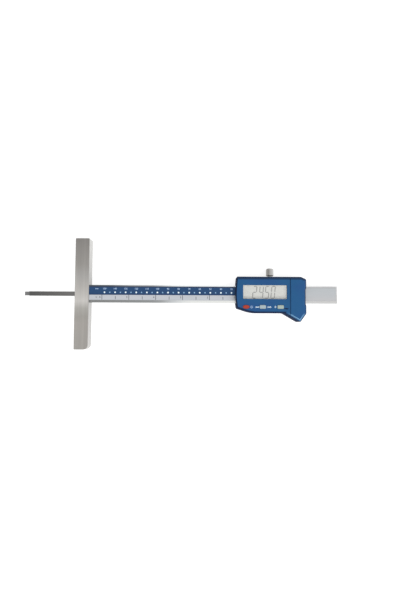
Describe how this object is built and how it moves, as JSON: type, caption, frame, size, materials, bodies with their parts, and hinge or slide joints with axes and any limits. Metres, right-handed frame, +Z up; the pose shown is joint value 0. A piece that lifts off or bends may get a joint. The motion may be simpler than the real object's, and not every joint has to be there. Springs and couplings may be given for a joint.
{
  "type": "digital depth gauge",
  "caption": "Digital depth gauge: steel crossbar on a graduated beam, blue slider with display and buttons that carries a flat depth rod through the crossbar.",
  "frame": {"origin": "middle of the depth rod, on the crossbar's reference face", "axes": "+X along the beam from the reference face, away from the work; +Y along the crossbar, towards the lock screw's side; +Z up, out of the display, with the gauge lying on its back"},
  "size_m": [0.2958, 0.1054, 0.0189],
  "materials": {
    "base_steel": "vertical brushed",
    "beam_steel": "fine ground",
    "frame_steel": "ground",
    "rod_steel": "dark ground",
    "screw_steel": "satin",
    "knob_metal": "knurled nickel",
    "gib_brass": "satin",
    "strip_laminate": "matte",
    "scale_print": "satin printed film",
    "case_blue": "satin moulded",
    "case_navy": "satin moulded",
    "cover_blue": "satin moulded",
    "window_clear": "clear",
    "lcd_glass": "polished",
    "contact_rubber": "matte",
    "board_green": "solder mask",
    "chip_black": "matte",
    "contact_steel": "spring steel",
    "button_red": "satin",
    "button_grey": "satin",
    "button_beige": "satin",
    "cell_steel": "satin"
  },
  "bodies": {
    "gauge_body": {"base": "base_steel", "base_screws": "screw_steel", "beam": "beam_steel", "scale_strip": "strip_laminate", "scale_label": "scale_print", "end_stop": "frame_steel", "end_stop_screw": "screw_steel"},
    "slider": {"slider_frame": "frame_steel", "gib_strip": "gib_brass", "gib_screws": "screw_steel", "depth_rod": "rod_steel", "rod_screw": "screw_steel", "front_housing": "case_blue", "rear_cover": "case_navy", "case_screws": "screw_steel", "lcd_window": "window_clear", "lcd_panel": "lcd_glass", "zebra_strips": "contact_rubber", "main_board": "board_green", "sensor_board": "board_green", "controller_chip": "chip_black", "dome_switches": "contact_steel", "battery": "cell_steel", "contact_negative": "contact_steel", "contact_positive": "contact_steel"},
    "lock_knob": {"lock_screw": "knob_metal"},
    "on_off_key": {"on_off_button": "button_red"},
    "unit_key": {"unit_button": "button_grey"},
    "zero_key": {"zero_button": "button_beige"},
    "battery_door": {"battery_cover": "cover_blue"}
  },
  "joints": [
    {"name": "slider_travel", "type": "slide", "parent": "gauge_body", "child": "slider", "axis": [1, 0, 0], "range_m": [-0.1375, 0.0481]},
    {"name": "lock_screw_turn", "type": "hinge", "parent": "slider", "child": "lock_knob", "pos_m": [0.1844, 0.017, 0.0008], "axis": [0, 1, 0], "range_deg": [-80, 360]},
    {"name": "on_off_press", "type": "slide", "parent": "slider", "child": "on_off_key", "axis": [0, 0, -1], "range_m": [0, 0.0005], "stiffness_N_per_m": 800, "springref_m": -0.0005},
    {"name": "unit_press", "type": "slide", "parent": "slider", "child": "unit_key", "axis": [0, 0, -1], "range_m": [0, 0.0005], "stiffness_N_per_m": 800, "springref_m": -0.0005},
    {"name": "zero_press", "type": "slide", "parent": "slider", "child": "zero_key", "axis": [0, 0, -1], "range_m": [0, 0.0005], "stiffness_N_per_m": 800, "springref_m": -0.0005},
    {"name": "battery_cover_slide", "type": "slide", "parent": "slider", "child": "battery_door", "axis": [1, 0, 0], "range_m": [0, 0.015]}
  ]
}
